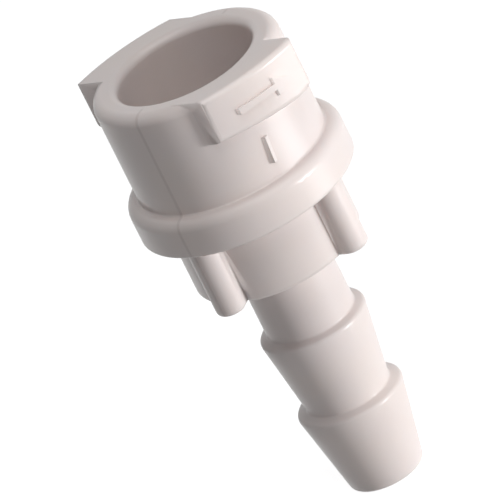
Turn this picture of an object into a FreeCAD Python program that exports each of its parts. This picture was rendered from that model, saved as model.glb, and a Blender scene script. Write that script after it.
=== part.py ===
import FreeCAD, Part
import os
import Sketcher

# Body half of a small twist-to-lock quick disconnect coupling, moulded in one piece.
# It stands on the end of its hose barb: the Z axis runs up out of the socket's mouth, whose centre is the
# origin, and the mould opens along the X axis. Depths are measured down from the mouth, and all sizes are
# in millimetres.

DRIVING_SIZES = {
    "socketDiameter": 5.9,
    "socketDepth": 5.7,
    "mouthRound": 0.34,
    "sealBoreDiameter": 4.8,
    "sealBoreLength": 2.7,
    "flowDiameter": 2.3,
    "barrelDiameter": 8.22,
    "rimRound": 0.48,
    "flangeDiameter": 9.42,
    "flangeTop": 4.75,
    "flangeThickness": 1.68,
    "flangeTopRound": 0.47,
    "flangeBottomRound": 0.14,
    "bossDiameter": 7.25,
    "bossLength": 3.08,
    "footRound": 0.25,
    "neckDiameter": 3.87,
    "barbDiameter": 4.68,
    "barbRootDiameter": 3.67,
    "barbShelfDrop": 0.14,
    "barbRound": 0.2,
    "firstBarbDepth": 12.72,
    "barbPitch": 3.7,
    "tipDiameter": 3.22,
    "tipRound": 0.22,
    "bodyLength": 20.25,
    "rootRound": 0.1,
    "lugThinSide": 3.37,
    "lugThickSide": 0.95,
    "lugThinDepth": 2.02,
    "lugThickDepth": 2.42,
    "lugFaceRadius": 7.96,
    "lugCentreBack": 2.85,
    "lugCentreSide": 1.99,
    "lugRound": 0.25,
    "bevelDepth": 1.8,
    "bevelReach": 4.6,
    "cutSpare": 0.2,
    "ribReach": 4.55,
    "ribWidth": 1.34,
    "ribCount": 4,
    "markHeight": 0.13,
    "indexSide": 1.74,
    "indexLean": 0.12,
    "indexWidth": 0.18,
    "indexTop": 2.86,
    "indexLength": 1.15,
    "arrowTip": 0.1,
    "arrowTail": 2.5,
    "arrowHead": 0.75,
    "arrowDepth": 1.15,
    "arrowHalfHeight": 0.42,
    "shaftHalfHeight": 0.14,
}

# Sizes that follow from the driving ones.
WORKED_OUT_SIZES = {
    "socketRadius": "=socketDiameter / 2",
    "sealBoreRadius": "=sealBoreDiameter / 2",
    "sealBoreBottom": "=socketDepth + sealBoreLength",
    "flowRadius": "=flowDiameter / 2",
    "barrelRadius": "=barrelDiameter / 2",
    "flangeRadius": "=flangeDiameter / 2",
    "flangeBottom": "=flangeTop + flangeThickness",
    "flangeMiddle": "=flangeTop + flangeThickness / 2",
    "bossRadius": "=bossDiameter / 2",
    "bossBottom": "=flangeBottom + bossLength",
    "neckRadius": "=neckDiameter / 2",
    "barbRadius": "=barbDiameter / 2",
    "barbRootRadius": "=barbRootDiameter / 2",
    "firstShelfDepth": "=firstBarbDepth - barbShelfDrop",
    "secondBarbDepth": "=firstBarbDepth + barbPitch",
    "secondShelfDepth": "=secondBarbDepth - barbShelfDrop",
    "tipRadius": "=tipDiameter / 2",
    "trimThinSide": "=lugThinSide + cutSpare",
    "trimThickSide": "=lugThickSide + cutSpare",
    "trimThinReach": "=sqrt(lugFaceRadius^2 - (trimThinSide + lugCentreSide)^2) - lugCentreBack",
    "trimThickReach": "=sqrt(lugFaceRadius^2 - (lugCentreSide - trimThickSide)^2) - lugCentreBack",
    "markFaceRadius": "=lugFaceRadius + markHeight",
    "markThinReach": "=sqrt(markFaceRadius^2 - (trimThinSide + lugCentreSide)^2) - lugCentreBack",
    "markThickReach": "=sqrt(markFaceRadius^2 - (lugCentreSide - trimThickSide)^2) - lugCentreBack",
    "blankReach": "=markThickReach + cutSpare",
    "trimReach": "=blankReach + cutSpare",
    "trimDepth": "=lugThickDepth + cutSpare",
    "ribHalfWidth": "=ribWidth / 2",
    "ribStraight": "=ribReach - ribHalfWidth",
    "arrowShoulder": "=arrowTip + arrowHead",
    "arrowUpper": "=arrowDepth - arrowHalfHeight",
    "arrowLower": "=arrowDepth + arrowHalfHeight",
    "shaftUpper": "=arrowDepth - shaftHalfHeight",
    "shaftLower": "=arrowDepth + shaftHalfHeight",
    "indexNear": "=indexSide - indexWidth / 2",
    "indexFar": "=indexSide + indexWidth / 2",
    "indexBottomNear": "=indexNear + indexLean",
    "indexBottomFar": "=indexFar + indexLean",
    "indexBottom": "=indexTop + indexLength",
    "indexReach": "=sqrt(barrelRadius^2 - indexSide^2) + markHeight",
}

TOUCH = 0.001

doc = FreeCAD.newDocument("CouplingBody")


def fillSheet():
    sheet = doc.addObject("Spreadsheet::Sheet", "Sizes")
    for row, (name, content) in enumerate({**DRIVING_SIZES, **WORKED_OUT_SIZES}.items(), start=1):
        sheet.set(f"A{row}", name)
        sheet.set(f"B{row}", str(content))
        sheet.setAlias(f"B{row}", name)
    doc.recompute()
    return sheet


sizes = fillSheet()


# A coordinate is the name of a cell, with a minus sign in front on the negative side, or 0 on the axis.
def size(name):
    if name == "0":
        return 0.0
    value = float(sizes.get(name.lstrip("-")))
    return -value if name.startswith("-") else value


def originFeature(body, role):
    return next(feature for feature in body.Origin.OriginFeatures if feature.Role == role)


def sketchOn(body, name, role, depth=None):
    sketch = body.newObject("Sketcher::SketchObject", name)
    sketch.AttachmentSupport = (originFeature(body, role), "")
    sketch.MapMode = "FlatFace"
    if depth:
        sketch.setExpression(".AttachmentOffset.Base.z", f"-Sizes.{depth}")
    return sketch


# Ties one coordinate of an edge's end or centre to a cell, measured from the sketch's origin.
def pinCoordinate(sketch, kind, edge, place, name):
    if name == "0":
        axis = -2 if kind == "DistanceX" else -1
        sketch.addConstraint(Sketcher.Constraint("PointOnObject", edge, place, axis))
        return
    ends = (edge, place, -1, 1) if name.startswith("-") else (-1, 1, edge, place)
    index = sketch.addConstraint(Sketcher.Constraint(kind, *ends, abs(size(name))))
    sketch.setExpression(f"Constraints[{index}]", f"Sizes.{name.lstrip('-')}")


def pinPoint(sketch, edge, place, corner):
    for kind, name in zip(("DistanceX", "DistanceY"), corner):
        pinCoordinate(sketch, kind, edge, place, name)


def makeArc(start, end, radius, centre):
    middle = FreeCAD.Vector(size(centre[0]), size(centre[1]), 0)
    circle = Part.Circle(middle, FreeCAD.Vector(0, 0, 1), size(radius))
    return Part.ArcOfCircle(circle, circle.parameter(start), circle.parameter(end))


# Draws a closed outline through corners. A side along either axis is held level or upright by a constraint.
# The side that starts at corner arcSide may be an arc, which swings counterclockwise about its centre. Its ends
# are then held by the one coordinate that arcHold names.
def drawOutline(sketch, corners, arcSide=None, arcRadius=None, arcCentre=None, arcHold="DistanceY"):
    points = [FreeCAD.Vector(size(across), size(up), 0) for across, up in corners]
    for side, start in enumerate(points):
        end = points[(side + 1) % len(points)]
        if side == arcSide:
            sketch.addGeometry(makeArc(start, end, arcRadius, arcCentre), False)
        else:
            sketch.addGeometry(Part.LineSegment(start, end), False)
    for side in range(len(points)):
        sketch.addConstraint(Sketcher.Constraint("Coincident", side, 2, (side + 1) % len(points), 1))
    arcCorners = () if arcSide is None else (arcSide, arcSide + 1)
    for side, corner in enumerate(corners):
        if side in arcCorners:
            pinCoordinate(sketch, arcHold, side, 1, corner[0 if arcHold == "DistanceX" else 1])
            continue
        before = corners[side - 1] if side else (None, None)
        for kind, alignment, name, last in zip(("DistanceX", "DistanceY"), ("Vertical", "Horizontal"), corner, before):
            if name == last:
                sketch.addConstraint(Sketcher.Constraint(alignment, side - 1))
            else:
                pinCoordinate(sketch, kind, side, 1, name)
    if arcSide is not None:
        pinPoint(sketch, arcSide, 3, arcCentre)
        index = sketch.addConstraint(Sketcher.Constraint("Radius", arcSide, size(arcRadius)))
        sketch.setExpression(f"Constraints[{index}]", f"Sizes.{arcRadius}")


def addFeature(body, kind, name, sketch, length=None):
    feature = body.newObject(f"PartDesign::{kind}", name)
    feature.Profile = sketch
    if length:
        feature.setExpression("Length", length)
    sketch.Visibility = False
    return feature


def addTurned(body, kind, name, sketch):
    feature = addFeature(body, kind, name, sketch)
    feature.ReferenceAxis = (originFeature(body, "Z_Axis"), [""])
    feature.Angle = 360
    doc.recompute()
    return feature


def addPattern(body, name, originals, count):
    pattern = body.newObject("PartDesign::PolarPattern", name)
    pattern.Originals = originals
    pattern.Axis = (originFeature(body, "Z_Axis"), [""])
    pattern.Angle = 360
    if isinstance(count, str):
        pattern.setExpression("Occurrences", f"Sizes.{count}")
    else:
        pattern.Occurrences = count
    body.Tip = pattern
    doc.recompute()
    return pattern


# Rounds the edges of the body's present shape that the test picks.
def roundEdges(body, name, radius, picks):
    base = body.Tip
    edges = [f"Edge{number}" for number, edge in enumerate(base.Shape.Edges, start=1) if picks(edge)]
    if not edges:
        raise RuntimeError(f"{name} finds no edge to round")
    fillet = body.newObject("PartDesign::Fillet", name)
    fillet.Base = (base, edges)
    fillet.setExpression("Radius", f"Sizes.{radius}")
    body.Tip = fillet
    doc.recompute()
    return fillet


def isRing(edge, radius, depth):
    if edge.Degenerated:
        return False
    curve = edge.Curve
    return (
        isinstance(curve, Part.Circle)
        and abs(curve.Radius - size(radius)) < TOUCH
        and abs(curve.Center.z + size(depth)) < TOUCH
        and curve.Center.x**2 + curve.Center.y**2 < TOUCH**2
    )


def buildTurnedForm(body):
    profile = sketchOn(body, "TurnedProfile", "XZ_Plane")
    drawOutline(
        profile,
        [
            ("0", "-bodyLength"),
            ("tipRadius", "-bodyLength"),
            ("barbRadius", "-secondBarbDepth"),
            ("barbRootRadius", "-secondShelfDepth"),
            ("barbRadius", "-firstBarbDepth"),
            ("neckRadius", "-firstShelfDepth"),
            ("neckRadius", "-bossBottom"),
            ("bossRadius", "-bossBottom"),
            ("bossRadius", "-flangeBottom"),
            ("flangeRadius", "-flangeBottom"),
            ("flangeRadius", "-flangeTop"),
            ("barrelRadius", "-flangeTop"),
            ("barrelRadius", "0"),
            ("0", "0"),
        ],
    )
    addTurned(body, "Revolution", "TurnedForm", profile)
    roundEdges(body, "RimRound", "rimRound", lambda edge: isRing(edge, "barrelRadius", "0"))
    roundEdges(body, "TipRound", "tipRound", lambda edge: isRing(edge, "tipRadius", "bodyLength"))
    roundEdges(
        body,
        "BarbRounds",
        "barbRound",
        lambda edge: isRing(edge, "barbRadius", "firstBarbDepth") or isRing(edge, "barbRadius", "secondBarbDepth"),
    )
    roundEdges(
        body,
        "RootRounds",
        "rootRound",
        lambda edge: isRing(edge, "barrelRadius", "flangeTop")
        or isRing(edge, "neckRadius", "bossBottom")
        or isRing(edge, "neckRadius", "firstShelfDepth")
        or isRing(edge, "barbRootRadius", "secondShelfDepth"),
    )
    roundEdges(body, "FlangeTopRound", "flangeTopRound", lambda edge: isRing(edge, "flangeRadius", "flangeTop"))
    roundEdges(body, "FlangeFootRound", "flangeBottomRound", lambda edge: isRing(edge, "flangeRadius", "flangeBottom"))


# Cuts what stands outside an arc struck from the lug's own centre, which lies off the axis.
def trimToArc(body, name, radius, thinReach, thickReach):
    plan = sketchOn(body, f"{name}Plan", "XY_Plane")
    corners = [
        (thinReach, "-trimThinSide"),
        (thickReach, "trimThickSide"),
        ("trimReach", "trimThickSide"),
        ("trimReach", "-trimThinSide"),
    ]
    drawOutline(plan, corners, 0, radius, ("-lugCentreBack", "lugCentreSide"))
    return addFeature(body, "Pocket", name, plan, "Sizes.trimDepth")


def buildLugs(body):
    # The underside climbs towards the thin end, so that turning the mating half draws it in.
    side = sketchOn(body, "LugSide", "YZ_Plane")
    drawOutline(
        side,
        [
            ("-lugThinSide", "-lugThinDepth"),
            ("lugThickSide", "-lugThickDepth"),
            ("lugThickSide", "0"),
            ("-lugThinSide", "0"),
        ],
    )
    blank = addFeature(body, "Pad", "LugBlank", side, "Sizes.blankReach")
    face = trimToArc(body, "LugFace", "lugFaceRadius", "trimThinReach", "trimThickReach")
    doc.recompute()

    wedge = sketchOn(body, "LeadInSide", "XZ_Plane")
    drawOutline(
        wedge,
        [
            ("bevelReach", "-lugThickDepth"),
            ("blankReach", "-lugThickDepth"),
            ("blankReach", "-bevelDepth"),
        ],
    )
    leadIn = addFeature(body, "Pocket", "LugLeadIn", wedge, "2 * Sizes.flangeDiameter")
    leadIn.SideType = "Symmetric"
    doc.recompute()
    addPattern(body, "LugPair", [blank, face, leadIn], 2)
    roundEdges(body, "LugRounds", "lugRound", standsClear)


# Both ends of the edge lie out on a lug, well clear of the barrel.
def standsClear(edge):
    clear = size("barrelRadius") + size("lugRound")
    return all(vertex.X**2 + vertex.Y**2 > clear**2 and vertex.Z > -size("flangeTop") for vertex in edge.Vertexes)


# A raised arrow on each lug's face shows the way to turn.
def buildArrows(body):
    arrow = sketchOn(body, "ArrowSide", "YZ_Plane")
    drawOutline(
        arrow,
        [
            ("-arrowTip", "-arrowDepth"),
            ("-arrowShoulder", "-arrowUpper"),
            ("-arrowShoulder", "-shaftUpper"),
            ("-arrowTail", "-shaftUpper"),
            ("-arrowTail", "-shaftLower"),
            ("-arrowShoulder", "-shaftLower"),
            ("-arrowShoulder", "-arrowLower"),
        ],
    )
    arrowBlank = addFeature(body, "Pad", "ArrowBlank", arrow, "Sizes.blankReach")
    arrowFace = trimToArc(body, "ArrowFace", "markFaceRadius", "markThinReach", "markThickReach")
    doc.recompute()
    addPattern(body, "ArrowPair", [arrowBlank, arrowFace], 2)


def buildIndexLine(body):
    side = sketchOn(body, "IndexSide", "YZ_Plane")
    drawOutline(
        side,
        [
            ("-indexBottomFar", "-indexBottom"),
            ("-indexBottomNear", "-indexBottom"),
            ("-indexNear", "-indexTop"),
            ("-indexFar", "-indexTop"),
        ],
    )
    line = addFeature(body, "Pad", "IndexLine", side, "Sizes.indexReach")
    doc.recompute()
    return line


def buildRibs(body):
    plan = sketchOn(body, "RibPlan", "XY_Plane", "flangeMiddle")
    corners = [
        ("0", "-ribHalfWidth"),
        ("ribStraight", "-ribHalfWidth"),
        ("ribStraight", "ribHalfWidth"),
        ("0", "ribHalfWidth"),
    ]
    drawOutline(plan, corners, 1, "ribHalfWidth", ("ribStraight", "0"), "DistanceX")
    rib = addFeature(body, "Pad", "GripRib", plan, "Sizes.bossBottom - Sizes.flangeMiddle")
    rib.Reversed = True
    doc.recompute()
    addPattern(body, "GripRibs", [rib], "ribCount")
    roundEdges(body, "FootRound", "footRound", isFootEdge)


# The edges around the shared foot of the boss and its ribs, without the ring at the neck's root.
def isFootEdge(edge):
    middle = edge.valueAt((edge.FirstParameter + edge.LastParameter) / 2)
    level = all(abs(vertex.Z + size("bossBottom")) < TOUCH for vertex in edge.Vertexes)
    return level and middle.x**2 + middle.y**2 > (size("bossRadius") - TOUCH) ** 2


def buildPassage(body):
    profile = sketchOn(body, "PassageProfile", "XZ_Plane")
    drawOutline(
        profile,
        [
            ("0", "-bodyLength"),
            ("flowRadius", "-bodyLength"),
            ("flowRadius", "-sealBoreBottom"),
            ("sealBoreRadius", "-sealBoreBottom"),
            ("sealBoreRadius", "-socketDepth"),
            ("socketRadius", "-socketDepth"),
            ("socketRadius", "0"),
            ("0", "0"),
        ],
    )
    addTurned(body, "Groove", "Passage", profile)
    roundEdges(body, "MouthRound", "mouthRound", lambda edge: isRing(edge, "socketRadius", "0"))


def buildCouplingBody():
    body = doc.addObject("PartDesign::Body", "CouplingBody")
    body.Label = "coupling_body"
    buildTurnedForm(body)
    buildLugs(body)
    buildArrows(body)
    buildIndexLine(body)
    buildRibs(body)
    buildPassage(body)
    return body


def checkAndExport(bodies):
    doc.recompute()
    for thing in doc.Objects:
        if "Invalid" in thing.State or "Error" in thing.State:
            raise RuntimeError(f"{thing.Name} failed: {thing.State}")
    os.makedirs("parts", exist_ok=True)
    for body in bodies:
        if body.Shape.isNull() or not body.Shape.isValid() or len(body.Shape.Solids) != 1:
            raise RuntimeError(f"{body.Label} is not one sound solid")
        body.Shape.exportStep(f"parts/{body.Label}.step")
        box = body.Shape.BoundBox
        print(f"{body.Label}: {box.XLength:.2f} x {box.YLength:.2f} x {box.ZLength:.2f} mm, {body.Shape.Volume:.1f} mm3")


checkAndExport([buildCouplingBody()])
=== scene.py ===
import bpy
import math
from mathutils import Matrix, Vector


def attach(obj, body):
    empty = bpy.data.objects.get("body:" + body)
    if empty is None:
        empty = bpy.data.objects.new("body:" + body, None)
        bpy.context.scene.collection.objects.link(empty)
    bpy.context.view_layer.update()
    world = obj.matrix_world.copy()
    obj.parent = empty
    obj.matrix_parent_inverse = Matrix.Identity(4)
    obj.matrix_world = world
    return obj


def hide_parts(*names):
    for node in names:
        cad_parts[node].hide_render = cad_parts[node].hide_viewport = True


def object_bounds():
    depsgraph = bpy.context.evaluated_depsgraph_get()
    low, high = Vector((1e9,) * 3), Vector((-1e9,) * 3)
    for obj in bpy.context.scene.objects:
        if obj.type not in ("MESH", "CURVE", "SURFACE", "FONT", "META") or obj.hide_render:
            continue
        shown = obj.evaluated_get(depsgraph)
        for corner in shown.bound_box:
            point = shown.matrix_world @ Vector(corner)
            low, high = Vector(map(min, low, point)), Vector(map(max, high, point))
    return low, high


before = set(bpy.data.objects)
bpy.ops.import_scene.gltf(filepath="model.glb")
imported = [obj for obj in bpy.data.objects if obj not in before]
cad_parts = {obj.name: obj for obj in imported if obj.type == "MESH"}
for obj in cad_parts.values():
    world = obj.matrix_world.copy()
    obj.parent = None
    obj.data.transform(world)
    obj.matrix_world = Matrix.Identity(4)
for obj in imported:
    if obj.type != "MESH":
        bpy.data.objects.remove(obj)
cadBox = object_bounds()
print("frame loaded")

mm = 0.001
bpy.context.scene.view_settings.view_transform = "Standard"


def deselectAll():
    for thing in bpy.context.selected_objects:
        thing.select_set(False)


def makeActive(thing):
    deselectAll()
    thing.select_set(True)
    bpy.context.view_layer.objects.active = thing


deselectAll()

# Camera. Azimuths are degrees round from the front, towards the +X lug.

photoCamera = {
    "azimuth": 43.0,
    "elevation": 24.2,
    "roll": 26.6,  # how far the coupling leans to the left in the picture
    "aimDepth": 8.755 * mm,  # below the mouth, on the axis
    "aimSide": -0.98 * mm,  # along the camera's level direction
    "distance": 0.7,
    "sensor": 36.0,
    "pictureWidth": 20.15 * mm,  # at the aim point
    "nearest": 0.001,
    "farthest": 20,
}


def pointOut(azimuth, elevation):
    a, e = math.radians(azimuth), math.radians(elevation)
    return Vector((math.sin(a) * math.cos(e), -math.cos(a) * math.cos(e), math.sin(e)))


def makeCamera(c):
    data = bpy.data.cameras.new("photoCamera")
    camera = bpy.data.objects.new("photoCamera", data)
    bpy.context.scene.collection.objects.link(camera)
    back = pointOut(c["azimuth"], c["elevation"])
    level = pointOut(c["azimuth"] + 90, 0)
    raised = back.cross(level)
    roll = math.radians(c["roll"])
    right = level * math.cos(roll) - raised * math.sin(roll)
    up = level * math.sin(roll) + raised * math.cos(roll)
    turn = Matrix((right, up, back)).transposed().to_4x4()
    aim = Vector((0, 0, -c["aimDepth"])) + level * c["aimSide"]
    camera.matrix_world = Matrix.Translation(aim + back * c["distance"]) @ turn
    data.sensor_width = c["sensor"]
    data.lens = c["sensor"] * c["distance"] / c["pictureWidth"]
    data.clip_start, data.clip_end = c["nearest"], c["farthest"]
    bpy.context.scene.camera = camera
    print("camera placed")


makeCamera(photoCamera)


# Shader maths: sums and products of signals add their own nodes.
class Signal:
    def __init__(self, shader, socket):
        self.shader, self.socket = shader, socket

    def math(self, operation, *others, swap=False):
        terms = [self, *others]
        if swap:
            terms.reverse()
        return self.shader.add("ShaderNodeMath", {"operation": operation}, dict(enumerate(terms)))

    def __add__(self, other):
        return self.math("ADD", other)

    __radd__ = __add__

    def __sub__(self, other):
        return self.math("SUBTRACT", other)

    def __rsub__(self, other):
        return self.math("SUBTRACT", other, swap=True)

    def __mul__(self, other):
        return self.math("MULTIPLY", other)

    __rmul__ = __mul__

    def __abs__(self):
        return self.math("ABSOLUTE")

    def higher(self, other):
        return self.math("MAXIMUM", other)

    def rise(self, start, end):
        sockets = {"Value": self, "From Min": start, "From Max": end}
        return self.shader.add("ShaderNodeMapRange", {"interpolation_type": "SMOOTHSTEP"}, sockets)


class Shader:
    def __init__(self, tree):
        self.tree = tree
        tree.nodes.clear()

    def add(self, kind, settings=None, sockets=None, out=0):
        node = self.tree.nodes.new(kind)
        for name, value in (settings or {}).items():
            setattr(node, name, value)
        for name, value in (sockets or {}).items():
            if isinstance(value, Signal):
                self.tree.links.new(value.socket, node.inputs[name])
            else:
                node.inputs[name].default_value = value
        return Signal(self, node.outputs[out]) if node.outputs else node

    def noise(self, place, scale, detail, roughness=0.5):
        sockets = {"Vector": place, "Scale": scale, "Detail": detail, "Roughness": roughness}
        return self.add("ShaderNodeTexNoise", None, sockets)

    # The numbers are the mix node's colour sockets.
    def blend(self, factor, first, second):
        return self.add("ShaderNodeMix", {"data_type": "RGBA"}, {0: factor, 6: first, 7: second}, out=2)


def newMaterial(name):
    material = bpy.data.materials.new(name)
    material.use_nodes = True
    return material, Shader(material.node_tree)


# Materials

mouldedPlastic = {
    "tone": (0.80, 0.725, 0.712, 1),
    "warmTone": (0.82, 0.735, 0.702, 1),
    # painted shade: this darker tone along the parting line stands in for shade beside the raised line
    "seamShadeTone": (0.60, 0.52, 0.50, 1),
    "driftScale": 0.3,  # of the slow change of tone, per mm, as are the scales below
    "driftFrom": 0.35,
    "driftTo": 0.65,
    "driftShare": 0.7,  # of the change of tone, and the specks have the rest
    "specksScale": 6.0,
    "rippleScale": 1.1,
    "rippleHeight": 0.004 * mm,
    "grainScale": 22.0,
    "grainHeight": 0.0009 * mm,
    "roughness": 0.30,
    "roughnessSpread": 0.08,
    "edgeSoftness": 0.025 * mm,
    "edgeSamples": 6,
    "seamCore": 0.04,  # mm either side of the parting line, where it is at its full height
    "seamWidth": 0.10,  # mm either side, where it ends
    "seamHeight": 0.008 * mm,
    # how strongly the painted shade darkens the colour along the parting line
    "seamShadeStrength": 0.45,
    "seamRadius": 3.32,  # mm, outside the mouth
    "seamSpread": 0.1,  # mm, over which it fades in
    "glow": 0.25,
    "glowReach": (0.9 * mm, 0.75 * mm, 0.7 * mm),
    "refraction": 1.48,
}


def makeMouldedPlastic(p):
    material, shader = newMaterial("mouldedPlastic")
    spot = shader.add("ShaderNodeTexCoord", None, None, out="Object")
    place = shader.add("ShaderNodeVectorMath", {"operation": "SCALE"}, {0: spot, "Scale": 1 / mm})
    across = shader.add("ShaderNodeSeparateXYZ", None, {0: place})
    along = Signal(shader, across.socket.node.outputs[1])

    drift = shader.noise(place, p["driftScale"], detail=3.0)
    specks = shader.noise(place, p["specksScale"], detail=4.0, roughness=0.6)
    ripple = shader.noise(place, p["rippleScale"], detail=1.0)
    grain = shader.noise(place, p["grainScale"], detail=2.0, roughness=0.6)

    seamEnd = p["seamRadius"] + p["seamSpread"]
    outside = (across * across + along * along).rise(p["seamRadius"] ** 2, seamEnd**2)
    # Parting line mask: it raises a real thin line in the bump, and it darkens the colour there as painted
    # shade.
    seamRidgeAndShade = (1 - abs(across).rise(p["seamCore"], p["seamWidth"])) * outside

    change = drift.rise(p["driftFrom"], p["driftTo"]) * p["driftShare"] + specks * (1 - p["driftShare"])
    tone = shader.blend(change, p["tone"], p["warmTone"])
    # painted shade: the colour turns darker along the parting line
    colour = shader.blend(seamRidgeAndShade * p["seamShadeStrength"], tone, p["seamShadeTone"])
    roughness = p["roughness"] - p["roughnessSpread"] / 2 + grain * p["roughnessSpread"]

    softEdges = shader.add("ShaderNodeBevel", {"samples": p["edgeSamples"]}, {"Radius": p["edgeSoftness"]})
    height = ripple * p["rippleHeight"] + grain * p["grainHeight"] + seamRidgeAndShade * p["seamHeight"]
    normal = shader.add("ShaderNodeBump", None, {"Distance": 1.0, "Height": height, "Normal": softEdges})

    surface = shader.add("ShaderNodeBsdfPrincipled", None, {
        "Base Color": colour,
        "Roughness": roughness,
        "Normal": normal,
        "IOR": p["refraction"],
        "Subsurface Weight": p["glow"],
        "Subsurface Radius": p["glowReach"],
        "Subsurface Scale": 1.0,
    })
    shader.add("ShaderNodeOutputMaterial", None, {"Surface": surface})
    print("moulded plastic mixed")
    return material


# The moulding, whose welded faces take smooth shading.

mouldedBody = {
    "node": "coupling_body",
    "weld": 0.001 * mm,
    "smoothUpTo": 28.0,  # degrees between faces
    "areaWeight": 90,
    "skewAllowed": 0.09,  # how far a turned face may look off to the side
    "roundWalls": [  # upright round walls off the axis: their own centre and radius
        (-2.85 * mm, 1.99 * mm, 7.96 * mm),
        (2.85 * mm, -1.99 * mm, 7.96 * mm),
        (3.88 * mm, 0, 0.67 * mm),
        (-3.88 * mm, 0, 0.67 * mm),
        (0, 3.88 * mm, 0.67 * mm),
        (0, -3.88 * mm, 0.67 * mm),
    ],
    "wallSlack": 0.2 * mm,  # how far off a wall a face may lie, which takes in the raised arrow
    "leanAllowed": 0.06,  # how far an upright face may look up or down
    "levelFrom": 0.9999,  # the least that a level face looks up or down
    "raisedParts": [  # top, bottom and inner radius of the zones that the lathe didn't shape
        (0.1 * mm, -4.6 * mm, 4.14 * mm),
        (-6.4 * mm, -9.6 * mm, 3.66 * mm),
    ],
}


def looksOutFrom(centre, face, m):
    x, y = face.center.x - centre[0], face.center.y - centre[1]
    return abs(face.normal.x * y - face.normal.y * x) < m["skewAllowed"] * math.hypot(x, y)


def isUpright(face, m):
    return abs(face.normal.z) < m["leanAllowed"]


# The upright line that a face is round about, or None.
def lineAbout(face, m):
    middle = face.center
    radius = math.hypot(middle.x, middle.y)
    if not any(bottom < middle.z < top and radius > inner for top, bottom, inner in m["raisedParts"]):
        return (0, 0) if looksOutFrom((0, 0), face, m) else None
    for x, y, wall in m["roundWalls"]:
        reach = math.hypot(middle.x - x, middle.y - y)
        if abs(reach - wall) < m["wallSlack"] and isUpright(face, m) and looksOutFrom((x, y), face, m):
            return x, y
    return None


# The shading follows the round forms and not their facets.
def smoothRoundFaces(mesh, m):
    normals = [corner.vector.copy() for corner in mesh.corner_normals]
    for face in mesh.polygons:
        if abs(face.normal.z) > m["levelFrom"]:
            for corner in face.loop_indices:
                normals[corner] = face.normal.copy()
            continue
        line = lineAbout(face, m)
        if not line:
            continue
        straight = isUpright(face, m)
        for corner in face.loop_indices:
            place = mesh.vertices[mesh.loops[corner].vertex_index].co
            out = Vector((place.x - line[0], place.y - line[1], 0)).normalized()
            rise = 0.0 if straight else normals[corner].z
            side = 1 if face.normal.dot(out) > 0 else -1
            normals[corner] = out * side * math.sqrt(max(0.0, 1 - rise * rise)) + Vector((0, 0, rise))
    mesh.normals_split_custom_set(normals)


def makeMouldedBody(m, finish):
    piece = bpy.data.objects.new("mouldedBody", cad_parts[m["node"]].data.copy())
    bpy.context.scene.collection.objects.link(piece)
    makeActive(piece)
    bpy.ops.object.mode_set(mode="EDIT")
    bpy.ops.mesh.select_all(action="SELECT")
    bpy.ops.mesh.remove_doubles(threshold=m["weld"])
    bpy.ops.object.mode_set(mode="OBJECT")
    bpy.ops.object.shade_smooth_by_angle(angle=math.radians(m["smoothUpTo"]))
    bpy.ops.object.modifier_add(type="WEIGHTED_NORMAL")
    piece.modifiers[-1].keep_sharp = True
    piece.modifiers[-1].weight = m["areaWeight"]
    bpy.ops.object.modifier_apply(modifier=piece.modifiers[-1].name)
    smoothRoundFaces(piece.data, m)
    piece.data.materials.clear()
    piece.data.materials.append(finish)
    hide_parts(m["node"])
    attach(piece, "root")
    print("moulded body made,", len(piece.data.polygons), "faces")


makeMouldedBody(mouldedBody, makeMouldedPlastic(mouldedPlastic))

# Floor, lamps and surroundings. Each lamp faces the coupling's middle.

studio = {
    "floorDepth": 20.26 * mm,  # just below the hose end
    "floorSize": 2.0,
    "floorTone": (0.80, 0.80, 0.80, 1),
    "floorLift": 0.87,  # what the camera sees on top of the light that falls on it
    "surroundings": 0.125,
    "background": 1.0,
}
lamps = {
    "key": {
        "azimuth": 101.0,
        "elevation": 0.0,
        "distance": 0.3,
        "wide": 0.045,
        "high": 0.019,
        "power": 0.54,
    },
    "lowStrip": {
        "azimuth": 109.0,
        "elevation": -11.0,
        "distance": 0.039,
        "wide": 0.02,
        "high": 0.004,
        "power": 0.0027,
    },
    "overMouth": {
        "azimuth": 75.0,
        "elevation": 70.0,
        "distance": 0.06,
        "wide": 0.05,
        "high": 0.05,
        "power": 0.015,
    },
}


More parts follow.
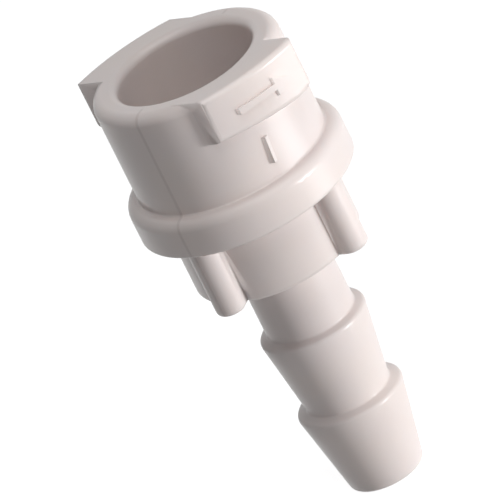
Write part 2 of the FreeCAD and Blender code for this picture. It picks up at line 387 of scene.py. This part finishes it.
def seenDirectly(shader):
    rays = shader.add("ShaderNodeLightPath")
    outputs = rays.socket.node.outputs
    glossy = Signal(shader, outputs["Is Glossy Ray"])
    through = Signal(shader, outputs["Is Transmission Ray"])
    return rays.higher(glossy).higher(through)


def makeFloor(s):
    material, shader = newMaterial("paleFloor")
    matt = shader.add("ShaderNodeBsdfDiffuse", None, {"Color": s["floorTone"]})
    lift = shader.add("ShaderNodeEmission", None, {"Strength": seenDirectly(shader) * s["floorLift"]})
    both = shader.add("ShaderNodeAddShader", None, {0: matt, 1: lift})
    below = shader.add("ShaderNodeNewGeometry", None, None, out="Backfacing")
    clear = shader.add("ShaderNodeBsdfTransparent")
    surface = shader.add("ShaderNodeMixShader", None, {0: below, 1: both, 2: clear})  # unseen from under it
    shader.add("ShaderNodeOutputMaterial", None, {"Surface": surface})
    deselectAll()
    bpy.ops.mesh.primitive_plane_add(size=s["floorSize"], location=(0, 0, -s["floorDepth"]))
    floor = bpy.context.object
    floor.name = "studioFloor"
    floor.data.materials.append(material)
    print("floor laid")


def makeLamps(rig):
    middle = (Vector(cadBox[0]) + Vector(cadBox[1])) / 2
    for name, lamp in rig.items():
        data = bpy.data.lights.new(name, "AREA")
        data.shape = "RECTANGLE"
        data.size, data.size_y, data.energy = lamp["wide"], lamp["high"], lamp["power"]
        light = bpy.data.objects.new(name, data)
        bpy.context.scene.collection.objects.link(light)
        light.visible_camera = False
        way = pointOut(lamp["azimuth"], lamp["elevation"])
        light.location = middle + way * lamp["distance"]
        light.rotation_euler = way.to_track_quat("Z", "Y").to_euler()
    print("lamps hung")


def makeSurroundings(s):
    world = bpy.data.worlds.new("surroundings")
    bpy.context.scene.world = world
    world.use_nodes = True
    shader = Shader(world.node_tree)
    strength = s["surroundings"] + seenDirectly(shader) * (s["background"] - s["surroundings"])
    sky = shader.add("ShaderNodeBackground", None, {"Color": (1, 1, 1, 1), "Strength": strength})
    shader.add("ShaderNodeOutputWorld", None, {"Surface": sky})
    print("surroundings lit")


makeFloor(studio)
makeLamps(lamps)
makeSurroundings(studio)


def writeSizes():
    print("scene built")


writeSizes()
